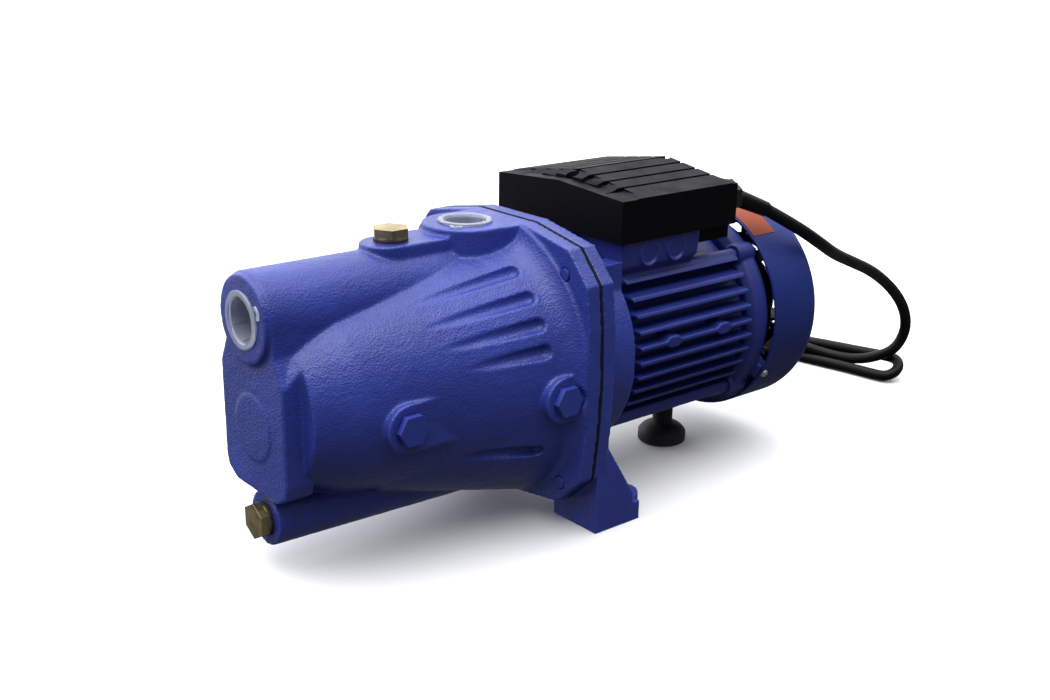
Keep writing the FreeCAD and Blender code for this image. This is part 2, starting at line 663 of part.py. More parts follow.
def ball_bearing(name, x, width, inner, outer, ball_radius, count):
    """A deep-groove ball bearing in four nodes: outer ring, inner ring, balls and the cage between them."""
    pitch = f"(({inner}) + ({outer})) / 2"
    middle = f"({x}) + ({width}) / 2"
    land = f"(({outer}) - ({inner})) * 0.3"
    groove = torus(middle, 0, "shaft_height", "+X", pitch, ball_radius + 0.05)
    for part, low, high in (("outer_ring", f"({outer}) - ({land})", f"({outer}) - 0.01"),
                            ("inner_ring", f"({inner}) + 0.01", f"({inner}) + ({land})")):
        ring = turned([(x, low), (x, high), (f"({x}) + ({width})", high), (f"({x}) + ({width})", low)])
        node(f"{name}_{part}", cut(ring, groove))
    radius = size_of(pitch)
    balls = []
    pockets = []
    for step in range(count):
        angle = 2 * math.pi * step / count
        y = str(radius * math.cos(angle))
        z = f"shaft_height + ({radius * math.sin(angle)})"
        balls.append(ball(middle, y, z, ball_radius))
        pockets.append(ball(middle, y, z, ball_radius + 0.1))
    node(f"{name}_balls", group(*balls))
    cage = turned([(f"{middle} - {ball_radius * 1.25}", f"{pitch} - 0.8"),
                   (f"{middle} - {ball_radius * 1.25}", f"{pitch} + 0.8"),
                   (f"{middle} + {ball_radius * 1.25}", f"{pitch} + 0.8"),
                   (f"{middle} + {ball_radius * 1.25}", f"{pitch} - 0.8")])
    node(f"{name}_cage", cut(cage, *pockets))


def stator():
    """The laminated stator core with its slots, and the copper winding that fills them."""
    core = turned([("stator_x", "stator_bore"), ("stator_x", "stator_radius - 0.05"),
                   ("stator_x + stack_length", "stator_radius - 0.05"),
                   ("stator_x + stack_length", "stator_bore")])
    slots = []
    bars = []
    for step in range(24):
        angle = 15.0 * step
        spot = ("stator_x - 1", -2.2, "stator_bore + 1.2")
        slots.append(spun(block(*spot, "stack_length + 2", 4.4, 12), angle, *spot))
        spot = ("stator_x - 4", -1.9, "stator_bore + 1.6")
        bars.append(spun(block(*spot, "stack_length + 8", 3.8, 11.2), angle, *spot))
    node("stator_core", cut(core, *slots))
    ends = []
    for low, high in (("stator_x - 20", "stator_x - 3"),
                      ("stator_x + stack_length + 3", "stator_x + stack_length + 19")):
        ends.append(turned([(low, 35), (low, 45), (f"{low} + 3", 50), (f"{high} - 3", 50), (high, 46),
                            (high, "stator_bore + 1"), (f"{high} - 6", "stator_bore + 1")]))
    node("stator_winding", fuse(*bars, *ends))


def motor_frame():
    """The aluminium motor frame: tube, level fins at the sides, upright fins below, and the box pedestal."""
    length = "shield_x - frame_x"
    tube = cylinder("frame_x", 0, "shaft_height", "+X", "frame_root", length)
    finned = f"{length} - 9"
    envelope = common(
        cylinder("frame_x + 6.5", 0, "shaft_height", "+X", "fin_tip", finned),
        cylinder("frame_x + 6.5", 0, "shaft_height + 9.5", "+X", "fin_tip + 2", finned))
    side_fins = [block("frame_x + 6.5", -80, f"fin_height + ({step}) * fin_pitch - fin_thickness / 2",
                       finned, 160, "fin_thickness") for step in range(-5, 5)]
    low_fins = [block("frame_x + 6.5", f"({step}) * fin_pitch - fin_thickness / 2", 20, finned,
                      "fin_thickness", 40) for step in range(-4, 5)]
    fins = common(envelope, fuse(*side_fins, *low_fins))
    top_clear = block("frame_x - 1", -50, 168, f"{length} + 2", 100, 20)
    pedestal = padded("YZ_Plane", mirrored_outline([(60, "box_floor"), (58, 163), (46, 150), (20, 140)]),
                      71, "frame_x")
    rings = [cut(cylinder(x, -58.5, 170, "-Y", 8.5, 1.6), cylinder(x, -58, 170, "-Y", 7, 4))
             for x in (28, 53)]
    lens = [(-8.5, 0), (-4, 4), (4, 4), (8.5, 0), (4, -4), (-4, -4)]
    pads = [padded("XZ_Plane", lens, 13, x, "-61", "fin_height") for x in (41, 90)]
    ribs = [cylinder("frame_x", y, z, "+X", 4.8, length) for y, z in tie_places()]
    foot_boss = cylinder("rear_foot_x", 0, "frame_bottom", "+Z", "shield_x - rear_foot_x - 0.02", 25)
    outside = fuse(cut(fuse(tube, fins, *ribs), top_clear), pedestal, *rings, *pads, foot_boss,
                   block("rear_foot_x - 16", -10, "frame_bottom", 18, 20, 12))
    bore = cylinder("frame_x - 1", 0, "shaft_height", "+X", "stator_radius", "shield_x - frame_x + 2")
    wire_way = cylinder(25, 0, 140, "+Z", 11, 60)
    stud_hole = cylinder("rear_foot_x", 0, "frame_bottom - 1", "+Z", 4.05, 15)
    tie_holes = [cylinder("frame_x - 1", y, z, "+X", 2.55, f"{length} + 2") for y, z in tie_places()]
    screw_holes = [cylinder(x, y, "box_floor + 1", "-Z", 2.05, 12) for x, y in base_screw_places()]
    node("motor_frame", cut(outside, bore, wire_way, stud_hole, *tie_holes, *screw_holes))


def base_screw_places():
    return [(x, y) for x in (12, 62) for y in (-44, 44)]


def rear_shield():
    """The aluminium rear end shield: outer ring, spokes and the rear bearing housing."""
    ring = turned([("shield_x", 53), ("shield_x", 66), ("shield_x + 4", 71.5), ("ring_end_x - 3", 72.5),
                   ("ring_end_x", 71), ("ring_end_x", 53)])
    disc = turned([("rear_bearing_x - 1.5", 18), ("rear_bearing_x - 1.5", 54), ("rear_bearing_x + 3", 54),
                   ("rear_bearing_x + 5", 24), ("rear_bearing_x + 16.5", 24), ("rear_bearing_x + 16.5", 9),
                   ("rear_bearing_x + 13.5", 9), ("rear_bearing_x + 13.5", "rear_ring_radius"),
                   ("rear_bearing_x - 1.5", "rear_ring_radius")])
    lugs = [cylinder("shield_x", y, z, "+X", 7, "ring_end_x - shield_x") for y, z in tie_places()]
    ears = [spun(block("ring_end_x - 1", -6, 60, 9, 12, 16.2), angle, "ring_end_x - 1", -6, 60)
            for angle in (0, 120, 240)]
    windows = [spun(block("shield_x - 1", -9, 29, 20, 18, 18), angle, "shield_x - 1", -9, 29)
               for angle in range(30, 390, 60)]
    tie_holes = [cylinder("shield_x - 1", y, z, "+X", 2.55, 20) for y, z in tie_places()]
    ear_holes = [spun(cylinder("0", 0, 0, "+Z", 1.55, 12), angle, "ring_end_x + 4.5", 0, 66)
                 for angle in (0, 120, 240)]
    bore = cylinder("shield_x - 1", 0, "shaft_height", "+X", "rear_ring_radius", 10)
    node("rear_end_shield", cut(fuse(ring, disc, *lugs, *ears), bore, *windows, *tie_holes, *ear_holes))
    node("wave_washer", turned([
        ("rear_bearing_x + rear_bearing_width + 0.3", 13),
        ("rear_bearing_x + rear_bearing_width + 0.3", 17),
        ("rear_bearing_x + rear_bearing_width + 1.5", 17),
        ("rear_bearing_x + rear_bearing_width + 1.5", 13)]))


def cooling_fan():
    """The plastic fan: hub, back plate and eight flat blades, with the spring clip that holds it."""
    hub = turned([("fan_x", 7.52), ("fan_x", 14), ("fan_x + 18", 12), ("fan_x + 18", 7.52)])
    plate = turned([("fan_x", 10), ("fan_x", 63), ("fan_x + 2", 63), ("fan_x + 2", 10)])
    blades = []
    for step in range(8):
        spot = ("fan_x", -1.1, 11)
        blades.append(spun(block(*spot, 22, 2.2, "fan_radius - 11"), 45.0 * step, *spot))
    node("cooling_fan", fuse(hub, plate, *blades))
    node("fan_clip", cut(
        cylinder("fan_x + 18.05", 0, "shaft_height", "+X", 10.5, 1.2),
        cylinder("fan_x + 17", 0, "shaft_height", "+X", 7.52, 4)))


def fan_cover():
    """The pressed steel fan cover with a rolled rear edge and three rings of air slots."""
    shell = turned([
        ("cowl_x", "cowl_radius - cowl_wall"), ("cowl_x", "cowl_radius"), ("cowl_end_x - 12", "cowl_radius"),
        ("cowl_end_x - 3.515", "cowl_radius - 3.515", "arc"), ("cowl_end_x", "cowl_radius - 12"),
        ("cowl_end_x", 0), ("cowl_end_x - cowl_wall", 0), ("cowl_end_x - cowl_wall", "cowl_radius - 12"),
        ("cowl_end_x - 4.575", "cowl_radius - 4.575", "arc"),
        ("cowl_end_x - 12", "cowl_radius - cowl_wall")])
    slots = []
    for inner, outer, spokes in ((20, 27, 6), (33, 40, 6), (46, 53, 12)):
        ring = turned([("cowl_end_x - 3", inner), ("cowl_end_x - 3", outer), ("cowl_end_x + 1", outer),
                       ("cowl_end_x + 1", inner)])
        bars = [spun(block("cowl_end_x - 4", -2.2, 0, 6, 4.4, 60), 360.0 * step / spokes,
                     "cowl_end_x - 4", -2.2, 0) for step in range(spokes)]
        slots.append(cut(ring, *bars))
    holes = [spun(cylinder("0", 0, 0, "+Z", 1.8, 12), angle, "ring_end_x + 4.5", 0, 72)
             for angle in (0, 120, 240)]
    node("fan_cover", cut(shell, *slots, *holes))
    screws = []
    for angle in (0, 120, 240):
        screws.append(spun(cylinder("0", 0, 0, "+Z", 1.5, 10), angle, "ring_end_x + 4.5", 0, 68.3))
        screws.append(spun(cone(0, 0, 0, "+Z", 3.2, 2.2, 1.8), angle, "ring_end_x + 4.5", 0, 78.1))
    node("fan_cover_screws", group(*[fuse(*pair) for pair in zip(screws[0::2], screws[1::2])]))


def gable(half_width, edge, peak, x, length):
    """A ridge-roofed block that reaches down to the seam of the terminal box."""
    return padded("YZ_Plane", [
        (f"-({half_width})", "lid_seam"), (half_width, "lid_seam"), (half_width, edge),
        (0, peak), (f"-({half_width})", edge)], length, x)


def spun_slab(step):
    """A tilted block that ramps down the front end of one strip of the lid, strips counted from the middle."""
    item = document.addObject("Part::Box", "ramp")
    item.Length, item.Width, item.Height = 14, 14.2 if -4 < step < 3 else 22, 8
    nearer = abs(step + 0.5) * 14 + (0 if -4 < step < 3 else 3)
    fall = (size_of("ridge_top") - size_of("lid_edge") - 0.5) / size_of("box_half")
    height = size_of("ridge_top") - nearer * fall
    low_y = step * 14 - 0.1 if step > -4 else -64
    start = Vector(size_of("box_x") + 19, low_y, height)
    item.Placement = FreeCAD.Placement(start - Vector(13.4, 0, 4.2), Rotation(Vector(0, 1, 0), -17))
    return item


def terminal_box():
    """The plastic terminal box: base with its rear wall, ridged lid, screws, and what it holds."""
    length = "box_end_x - box_x"
    tray = cut(block("box_x", "-box_half", "box_floor", length, "2 * box_half", "lid_seam - box_floor - 0.05"),
               block("box_x + 3", "3 - box_half", "box_floor + 2.5", f"{length} - 6", "2 * box_half - 6", 5))
    deep = cut(block(76, -56, 169.5, "box_end_x - 76", 112, 11), block(78.5, -53.5, 172, 25.5, 107, 20))
    rear_wall = block("box_end_x - 3.5", "3 - box_half", "lid_seam - 2", 3.5, "2 * box_half - 6", 22.5)
    gland_hole = cylinder("box_end_x - 6", "gland_y", "gland_height", "+X", 8.05, 10)
    wire_hole = cylinder(25, 0, "box_floor - 1", "+Z", 11, 6)
    screw_holes = [cylinder(x, y, "box_floor - 1", "+Z", 2.3, 6) for x, y in base_screw_places()]
    node("terminal_box_base", cut(fuse(tray, deep, rear_wall), gland_hole, wire_hole, *screw_holes,
                                  *[cylinder(x, 0, "box_floor - 1", "+Z", 1.55, 6)
                                    for x in lid_screw_places()]))

    roof = gable("box_half", "lid_edge", "lid_peak", "box_x", length)
    ridge = cut(
        gable("box_half", "lid_edge + 0.5", "ridge_top", "box_x + 10", "box_end_x - box_x - 15"),
        *[spun_slab(step) for step in range(-4, 4)])
    hollow = gable("box_half - 2.5", "lid_edge - 2.5", "lid_peak - 2.5", "box_x + 2.5", f"{length} - 5")
    rear_gap = block("box_end_x - 3.7", "2.8 - box_half", "lid_seam - 1", 5, "2 * box_half - 5.6", 21.9)
    fall = "(ridge_top - lid_edge - 0.5) / box_half"
    grooves = [block("box_x + 5", f"({y}) - 1.3", f"ridge_top - 2.4 - {abs(y)} * {fall}", 110, 2.6, 6)
               for y in range(-42, 43, 14)]
    recesses = [cylinder(x, 0, 206, "+Z", 4.5, 20) for x in lid_screw_places()]
    posts = [cylinder(x, 0, "lid_seam - 1", "+Z", 5.5, 27) for x in lid_screw_places()]
    shell = cut(cut(fuse(roof, ridge), *grooves), hollow, rear_gap)
    clear = [cylinder(x, 0, "lid_seam - 2", "+Z", 2.1, 30) for x in lid_screw_places()]
    node("terminal_box_lid", cut(fuse(shell, *posts), *recesses, *clear))
    node("lid_screws", group(*[
        cut(fuse(cylinder(x, 0, 206.02, "+Z", 3.8, 2.6), cylinder(x, 0, "box_floor + 0.2", "+Z", 1.5, 26)),
            block(f"{x} - 3", -0.5, 207.6, 6, 1, 3), block(f"{x} - 0.5", -3, 207.6, 1, 6, 3))
        for x in lid_screw_places()]))
    node("box_base_screws", group(*[
        fuse(cylinder(x, y, "box_floor + 2.52", "+Z", 3.8, 1.2), cylinder(x, y, "box_floor + 3", "-Z", 2, 12))
        for x, y in base_screw_places()]))


def lid_screw_places():
    return (12, 98)


def box_contents():
    """The terminal board with its screws, and the run capacitor under its strap."""
    board = block(22, -34, "box_floor + 2.55", 34, 20, 9)
    walls = [block(22 + step * 10.2, -34, "box_floor + 10", 3, 20, 5) for step in range(4)]
    places = [(29.4 + 10.2 * column - 1.3, -29 + 10 * row) for column in range(3) for row in range(2)]
    holes = [cylinder(x, y, "box_floor + 4", "+Z", 1.55, 10) for x, y in places]
    node("terminal_board", cut(fuse(board, *walls), *holes))
    node("terminal_screws", group(*[
        fuse(cylinder(x, y, "box_floor + 11.57", "+Z", 2.6, 2), cylinder(x, y, "box_floor + 5", "+Z", 1.5, 7))
        for x, y in places]))
    line = (22, "box_floor + 15")
    node("run_capacitor", fuse(cylinder(22, *line, "+X", 11, 60), cylinder(82, *line, "+X", 10, 4)))
    node("capacitor_strap", cut(
        fuse(cylinder(46, *line, "+X", 12.1, 10), block(46, 8, "box_floor + 2.55", 10, 28, 1.4)),
        cylinder(45, *line, "+X", 11.05, 12)))


def cable_gland():
    """The cable gland: threaded body, lock nut inside the box and sealing nut outside."""
    spot = ("gland_y", "gland_height")
    body = cut(
        fuse(cylinder("box_end_x - 9", *spot, "+X", 8, 12), hexagon("box_end_x + 0.02", *spot, "+X", 21, 5)),
        cylinder("box_end_x - 10", *spot, "+X", "cord_radius + 0.6", 30))
    node("cable_gland_body", body)
    node("cable_gland_locknut", cut(
        hexagon("box_end_x - 3.52", *spot, "-X", 17, 4), cylinder("box_end_x - 10", *spot, "+X", 8.03, 12)))
    dome = fuse(hexagon("box_end_x + 5.05", *spot, "+X", 20, 5), cone("box_end_x + 10", *spot, "+X", 10, 7.6, 4))
    node("cable_gland_nut", cut(dome, cylinder("box_end_x + 4", *spot, "+X", 6.6, 12)))


def rear_foot():
    """The rubber rear foot on its stud under the motor frame."""
    pad = document.addObject("Part::Feature", "rear_foot")
    profile = [Vector(4.1, 0, 0), Vector(17, 0, 0), Vector(18, 0, 1), Vector(18, 0, 7.5)]
    edges = [Part.makeLine(a, b) for a, b in zip(profile, profile[1:])]
    edges.append(Part.Arc(Vector(18, 0, 7.5), Vector(14, 0, 12), Vector(7.5, 0, 14.5)).toShape())
    top = size_of("frame_bottom") - 0.02
    tail = [Vector(7.5, 0, 14.5), Vector(7.5, 0, top), Vector(4.1, 0, top), Vector(4.1, 0, 0)]
    edges += [Part.makeLine(a, b) for a, b in zip(tail, tail[1:])]
    pad.Shape = Part.Face(Part.Wire(edges)).revolve(Vector(), Vector(0, 0, 1), 360)
    place(pad, "rear_foot_x", 0, 0)
    node("rear_foot_pad", pad)
    node("rear_foot_stud", cylinder("rear_foot_x", 0, 5, "+Z", 4, "frame_bottom + 8"))


CORD_ROUTE = [
    (149, -53, 183), (162, -61.5, 174.5), (177, -68, 165), (199, -67.5, 152.5), (228, -58, 139.2),
    (263, -50, 125.9), (296, -43.5, 113), (322, -39.5, 99.5), (344.5, -37, 84.5), (361.5, -35.5, 68.5),
    (371.5, -34, 49), (374.5, -31, 27.5)]
TAIL_ROUTE = [(325, 98.6, 5.2), (313, 112, 6), (298, 121.5, 9.5), (281, 127, 14.5), (265, 129, 18.5)]
HANK_NEAR = (364, -14)
HANK_FAR = (332.4, 142.8)


def rounded_path(points):
    """Straight runs joined by tangent arcs as large as the runs allow, and the arcs' radii."""
    spots = [Vector(*point) for point in points]
    edges = []
    radii = []
    start = spots[0]
    for before, corner, after in zip(spots, spots[1:], spots[2:]):
        run = min(before.distanceToPoint(corner), corner.distanceToPoint(after))
        into = (corner - before).normalize()
        out = (after - corner).normalize()
        turn = into.getAngle(out)
        reach = 0.45 * run
        radius = reach / math.tan(turn / 2)
        first = corner - into * reach
        last = corner + out * reach
        inward = (out - into).normalize()
        middle = corner + inward * (radius / math.cos(turn / 2) - radius)
        edges.append(Part.LineSegment(start, first).toShape())
        edges.append(Part.Arc(first, middle, last).toShape())
        radii.append(radius)
        start = last
    edges.append(Part.LineSegment(start, spots[-1]).toShape())
    return Part.Wire(edges), radii


def cord_tube(label, points):
    """A cord's free stretch, swept along its rounded path."""
    path, radii = rounded_path(points)
    radius = size_of("cord_radius")
    direction = (Vector(*points[1]) - Vector(*points[0])).normalize()
    section = Part.Wire([Part.makeCircle(radius, Vector(*points[0]), direction)])
    tube = document.addObject("Part::Feature", "tube")
    tube.Shape = path.makePipeShell([section], True, False)
    expected = math.pi * radius ** 2 * path.Length
    print(f"{label}: {path.Length:.1f} mm long, volume {tube.Shape.Volume / expected:.4f} of its section, "
          f"radii {[round(r, 1) for r in radii]}")
    return node(label, tube)


def power_cord():
    """The mains lead: strain relief, free stretch, tied hank, its tie, the tail and the plug."""
    start = Vector(size_of("box_end_x") + 9.5, size_of("gland_y"), size_of("gland_height"))
    end = Vector(*CORD_ROUTE[0])
    relief = document.addObject("Part::Cone", "relief")
    relief.Radius1 = 6.4
    bind(relief, "Radius2", "cord_radius + 0.9")
    relief.Height = start.distanceToPoint(end)
    relief.Placement = FreeCAD.Placement(start, Rotation(Vector(0, 0, 1), end - start))
    node("cord_strain_relief", relief)
    cord_tube("power_cord", CORD_ROUTE)
    cord_tube("power_cord_tail", TAIL_ROUTE)

    along = Vector(HANK_FAR[0] - HANK_NEAR[0], HANK_FAR[1] - HANK_NEAR[1], 0)
    heading = math.degrees(math.atan2(along.y, along.x))
    span = along.Length
    turn = Rotation(Vector(0, 0, 1), heading)
    side = [(0, "hank_near_radius"), (40, "hank_near_radius - 2.5"), ("hank_tie_from - 14", "hank_waist"),
            ("hank_tie_from + 16", "hank_waist"), (span - 22, "hank_far_radius - 4"),
            (span, "hank_far_radius")]
    outline = [(x, f"-({y})") for x, y in side] + [(f"{span} + hank_far_radius", 0, "arc")]
    outline += side[::-1] + [("-hank_near_radius", 0, "arc")]
    crossing = padded("XZ_Plane", [(-30, 0.5), (-30, "hank_crossing"), (14, "hank_crossing"),
                                   (66, "hank_height"), (span + 30, "hank_height"), (span + 30, 0.5)],
                      60, "0", "30")
    hank = common(padded("XY_Plane", outline, 40), crossing)
    band = cut(block("hank_tie_from", -30, -3, "tie_width", 60, 40),
               block("hank_tie_from - 1", "1.2 - hank_waist", 2, "tie_width + 2", "2 * hank_waist - 2.4",
                     "hank_height - 3.2"))
    node("power_cord_hank", place(cut(hank, band), str(HANK_NEAR[0]), str(HANK_NEAR[1]), 0, turn))
    tie = cut(block("hank_tie_from", "-hank_waist", 0, "tie_width", "2 * hank_waist", "hank_height"),
              block("hank_tie_from - 1", "1.2 - hank_waist", 2, "tie_width + 2", "2 * hank_waist - 2.4",
                    "hank_height - 3.2"))
    node("cord_tie", place(tie, str(HANK_NEAR[0]), str(HANK_NEAR[1]), 0, turn))
    mains_plug()


def mains_plug():
    """A round earthed plug with two pins, lying beside the hank."""
    back = Vector(*TAIL_ROUTE[-1])
    heading = back - Vector(*TAIL_ROUTE[-2])
    heading.z = 0
    turn = Rotation(Vector(1, 0, 0), heading)
    plug = fuse(cone(0, 0, 0, "+X", 7, 9, 12), cone(12, 0, 0, "+X", 9, 17.5, 10),
                cylinder(22, 0, 0, "+X", 18, 18))
    moulding = cut(plug, *[cylinder(30, y, 0, "+X", 2.4, 20) for y in (-9.5, 9.5)])
    pins = [cylinder(30.1, y, 0, "+X", 2.38, 29) for y in (-9.5, 9.5)]
    node("mains_plug", place(group(moulding, *pins), back.x, back.y, "plug_height", turn))


def export():
    """Stops if anything failed, then writes one file per node."""
    os.makedirs("parts", exist_ok=True)
    for item in document.Objects:
        if "Invalid" in item.State or "Error" in item.State:
            raise SystemExit(f"{item.Name} failed: {item.State}")
    for item in nodes:
        if item.Shape.isNull() or not item.Shape.isValid():
            raise SystemExit(f"{item.Label} has no valid shape")
    for item in nodes:
        item.Shape.exportStep(f"parts/{item.Label}.step")
    print(len(nodes), "nodes")


pump_casing()
casing_gasket()
flange_bolts()
pump_bracket()
tie_bolts()
hex_plug("priming_plug", "priming_x", "0", "priming_top", "+Z", 1.5)
hex_plug("drain_plug", "plate_x + 5", "0", "drain_height", "-X", 1.5)
side_plugs()
ejector()
diffuser()
impeller()
shaft_set()
shaft_seal()
ball_bearing("front_bearing", "front_bearing_x", "front_bearing_width", "front_seat_radius",
             "front_ring_radius", 3.35, 8)
ball_bearing("rear_bearing", "rear_bearing_x", "rear_bearing_width", "rear_seat_radius",
             "rear_ring_radius", 2.95, 8)
stator()
motor_frame()
rear_shield()
cooling_fan()
fan_cover()
terminal_box()
box_contents()
cable_gland()
rear_foot()
power_cord()
document.recompute()
export()
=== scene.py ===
"""Looks of the shallow well jet pump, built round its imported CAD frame. Lengths are in metres."""

import json
import math

import bmesh
import bpy
from mathutils import Matrix, Vector


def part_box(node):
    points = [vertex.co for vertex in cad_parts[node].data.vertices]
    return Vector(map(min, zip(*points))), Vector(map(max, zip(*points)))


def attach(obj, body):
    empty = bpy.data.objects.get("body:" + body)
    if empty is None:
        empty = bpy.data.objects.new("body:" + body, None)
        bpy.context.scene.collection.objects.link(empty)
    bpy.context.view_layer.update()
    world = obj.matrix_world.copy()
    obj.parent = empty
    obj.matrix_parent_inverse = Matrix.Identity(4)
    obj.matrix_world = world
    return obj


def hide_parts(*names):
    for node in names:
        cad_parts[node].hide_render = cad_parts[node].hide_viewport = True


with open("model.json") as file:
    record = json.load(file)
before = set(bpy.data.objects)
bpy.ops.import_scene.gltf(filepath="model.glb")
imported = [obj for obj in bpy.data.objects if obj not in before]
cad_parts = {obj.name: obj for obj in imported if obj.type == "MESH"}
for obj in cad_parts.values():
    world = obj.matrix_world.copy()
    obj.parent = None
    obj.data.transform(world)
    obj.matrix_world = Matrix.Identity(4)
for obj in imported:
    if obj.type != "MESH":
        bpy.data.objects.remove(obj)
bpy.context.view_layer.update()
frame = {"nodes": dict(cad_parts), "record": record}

NODES = frame["nodes"]
MM = 0.001
SHAFT_HEIGHT = 104 * MM
AXIS_X = Vector((1, 0, 0))
AXIS_Z = Vector((0, 0, 1))


# ---------------------------------------------------------------- camera

CAMERA_PLACE = Vector((-0.5614, -0.6331, 0.3770))
CAMERA_TARGET = Vector((-0.0415, -0.0174, 0.1067))
CAMERA_ROLL = math.radians(0.99)
LENS_MM = 44.38


def make_camera():
    data = bpy.data.cameras.new("camera")
    data.lens = LENS_MM
    data.sensor_width = 36
    data.clip_start = 0.01
    camera = bpy.data.objects.new("camera", data)
    bpy.context.scene.collection.objects.link(camera)
    camera.rotation_mode = "QUATERNION"
    aim = (CAMERA_TARGET - CAMERA_PLACE).to_track_quat("-Z", "Y")
    camera.rotation_quaternion = aim @ Matrix.Rotation(CAMERA_ROLL, 4, "Z").to_quaternion()
    camera.location = CAMERA_PLACE
    bpy.context.scene.camera = camera


# ---------------------------------------------------------------- finishes

class Finish:
    """A material in the making: its shader, and the nodes that feed it."""

    def __init__(self, name, color, roughness, metallic=0.0, **sockets):
        self.material = bpy.data.materials.new(name)
        self.material.use_nodes = True
        self.tree = self.material.node_tree
        self.shader = self.tree.nodes["Principled BSDF"]
        self.color = color
        self.set("Base Color", (*color, 1))
        self.set("Roughness", roughness)
        self.set("Metallic", metallic)
        for socket, value in sockets.items():
            self.set(socket.replace("_", " "), value)
        self.place = self.tree.nodes.new("ShaderNodeTexCoord").outputs["Object"]
        self.normal = None

    def set(self, socket, value):
        """Sets a socket of the shader to a value, or links it to another node's output."""
        if isinstance(value, bpy.types.NodeSocket):
            self.tree.links.new(value, self.shader.inputs[socket])
        else:
            self.shader.inputs[socket].default_value = value

    def stretched(self, stretch):
        mapping = self.tree.nodes.new("ShaderNodeMapping")
        mapping.inputs["Scale"].default_value = stretch
        self.tree.links.new(self.place, mapping.inputs["Vector"])
        return mapping.outputs["Vector"]

    def noise(self, size, detail=3.0, rough=0.55, stretch=None):
        """Cloudy noise from 0 to 1 whose blotches are about that size."""
        node = self.tree.nodes.new("ShaderNodeTexNoise")
        node.inputs["Scale"].default_value = 0.5 / size
        node.inputs["Detail"].default_value = detail
        node.inputs["Roughness"].default_value = rough
        self.tree.links.new(self.stretched(stretch) if stretch else self.place, node.inputs["Vector"])
        return node.outputs["Fac"]

    def cells(self, size):
        """Distance from the middle of rounded cells of about that size."""
        node = self.tree.nodes.new("ShaderNodeTexVoronoi")
        node.feature = "SMOOTH_F1"
        node.inputs["Scale"].default_value = 1 / size
        node.inputs["Smoothness"].default_value = 0.6
        self.tree.links.new(self.place, node.inputs["Vector"])
        return node.outputs["Distance"]

    def edges(self, low, high):
        """1 on convex edges, 0 on flat ground."""
        geometry = self.tree.nodes.new("ShaderNodeNewGeometry")
        return self.span(geometry.outputs["Pointiness"], low, high, 0.0, 1.0)

    def span(self, value, low, high, to_low, to_high):
        node = self.tree.nodes.new("ShaderNodeMapRange")
        limits = {"From Min": low, "From Max": high, "To Min": to_low, "To Max": to_high}
        for socket, number in limits.items():
            node.inputs[socket].default_value = number
        self.tree.links.new(value, node.inputs["Value"])
        return node.outputs["Result"]

    def times(self, first, second):
        node = self.tree.nodes.new("ShaderNodeMath")
        node.operation = "MULTIPLY"
        self.tree.links.new(first, node.inputs[0])
        self.tree.links.new(second, node.inputs[1])
        return node.outputs["Value"]

    def mix(self, factor, first, second):
        """One colour changing to another; a colour is a triple or another node's output."""
        node = self.tree.nodes.new("ShaderNodeMix")
        node.data_type = "RGBA"
        self.tree.links.new(factor, node.inputs[0])
        for socket, color in ((node.inputs[6], first), (node.inputs[7], second)):
            if isinstance(color, bpy.types.NodeSocket):
                self.tree.links.new(color, socket)
            else:
                socket.default_value = (*color, 1)
        return node.outputs[2]

    def bump(self, height, depth):
        """Adds a relief of that depth on top of the reliefs before it."""
        node = self.tree.nodes.new("ShaderNodeBump")
        node.inputs["Strength"].default_value = 1.0
        node.inputs["Distance"].default_value = depth
        self.tree.links.new(height, node.inputs["Height"])
        if self.normal:
            self.tree.links.new(self.normal, node.inputs["Normal"])
        self.normal = node.outputs["Normal"]
        self.set("Normal", self.normal)


def scaled(color, factor):
    """The colour made lighter or darker."""
    return tuple(min(1.0, channel * factor) for channel in color)


def cast_enamel():
    """Thick enamel over sand-cast iron: pebbled, glossy on the grains, paler on convex edges, partly
    thinner enamel and partly a painted highlight.
    """
    blue = (0.027, 0.047, 0.30)
    finish = Finish("casing_enamel", blue, 0.36)
    patches = finish.span(finish.noise(0.03), 0.35, 0.65, 0, 1)
    ground = finish.mix(patches, scaled(blue, 0.86), scaled(blue, 1.12))
    # Convex edges made paler: partly thinner enamel, partly a painted highlight.
    edge_highlight_and_thin_enamel = finish.mix(finish.edges(0.52, 0.60), ground, scaled(blue, 1.7))
    finish.set("Base Color", edge_highlight_and_thin_enamel)
    finish.set("Roughness", finish.span(finish.noise(0.004), 0.3, 0.7, 0.30, 0.42))
    finish.bump(finish.noise(0.005, 2), 0.00025)
    finish.bump(finish.cells(0.0012), 0.00026)
    finish.bump(finish.noise(0.0006, 2), 0.00008)
    return finish.material


def smooth_enamel(name, blue, roughness, grain, shine=0.5):
    """Sprayed enamel over die-cast or pressed metal, with a faint orange peel."""
    finish = Finish(name, blue, roughness, Specular_IOR_Level=shine)
    patches = finish.span(finish.noise(0.025), 0.35, 0.65, 0, 1)
    finish.set("Base Color", finish.mix(patches, scaled(blue, 0.9), scaled(blue, 1.1)))
    finish.set("Roughness", finish.span(finish.noise(0.006), 0.3, 0.7, roughness - 0.05, roughness + 0.07))
    finish.bump(finish.noise(0.0025, 2), grain)
    finish.bump(finish.noise(0.0006, 2), grain * 0.3)
    return finish.material


def moulded(name, color, roughness, grain=0.00005, **sockets):
    """Moulded plastic or rubber with a fine spark-eroded texture and faint handling marks."""
    finish = Finish(name, color, roughness, **sockets)
    finish.set("Base Color", finish.mix(finish.noise(0.02), scaled(color, 0.8), scaled(color, 1.25)))
    finish.set("Roughness", finish.span(finish.noise(0.008), 0.3, 0.7, roughness - 0.06, roughness + 0.08))
    finish.bump(finish.noise(0.0006, 3), grain)
    return finish.material


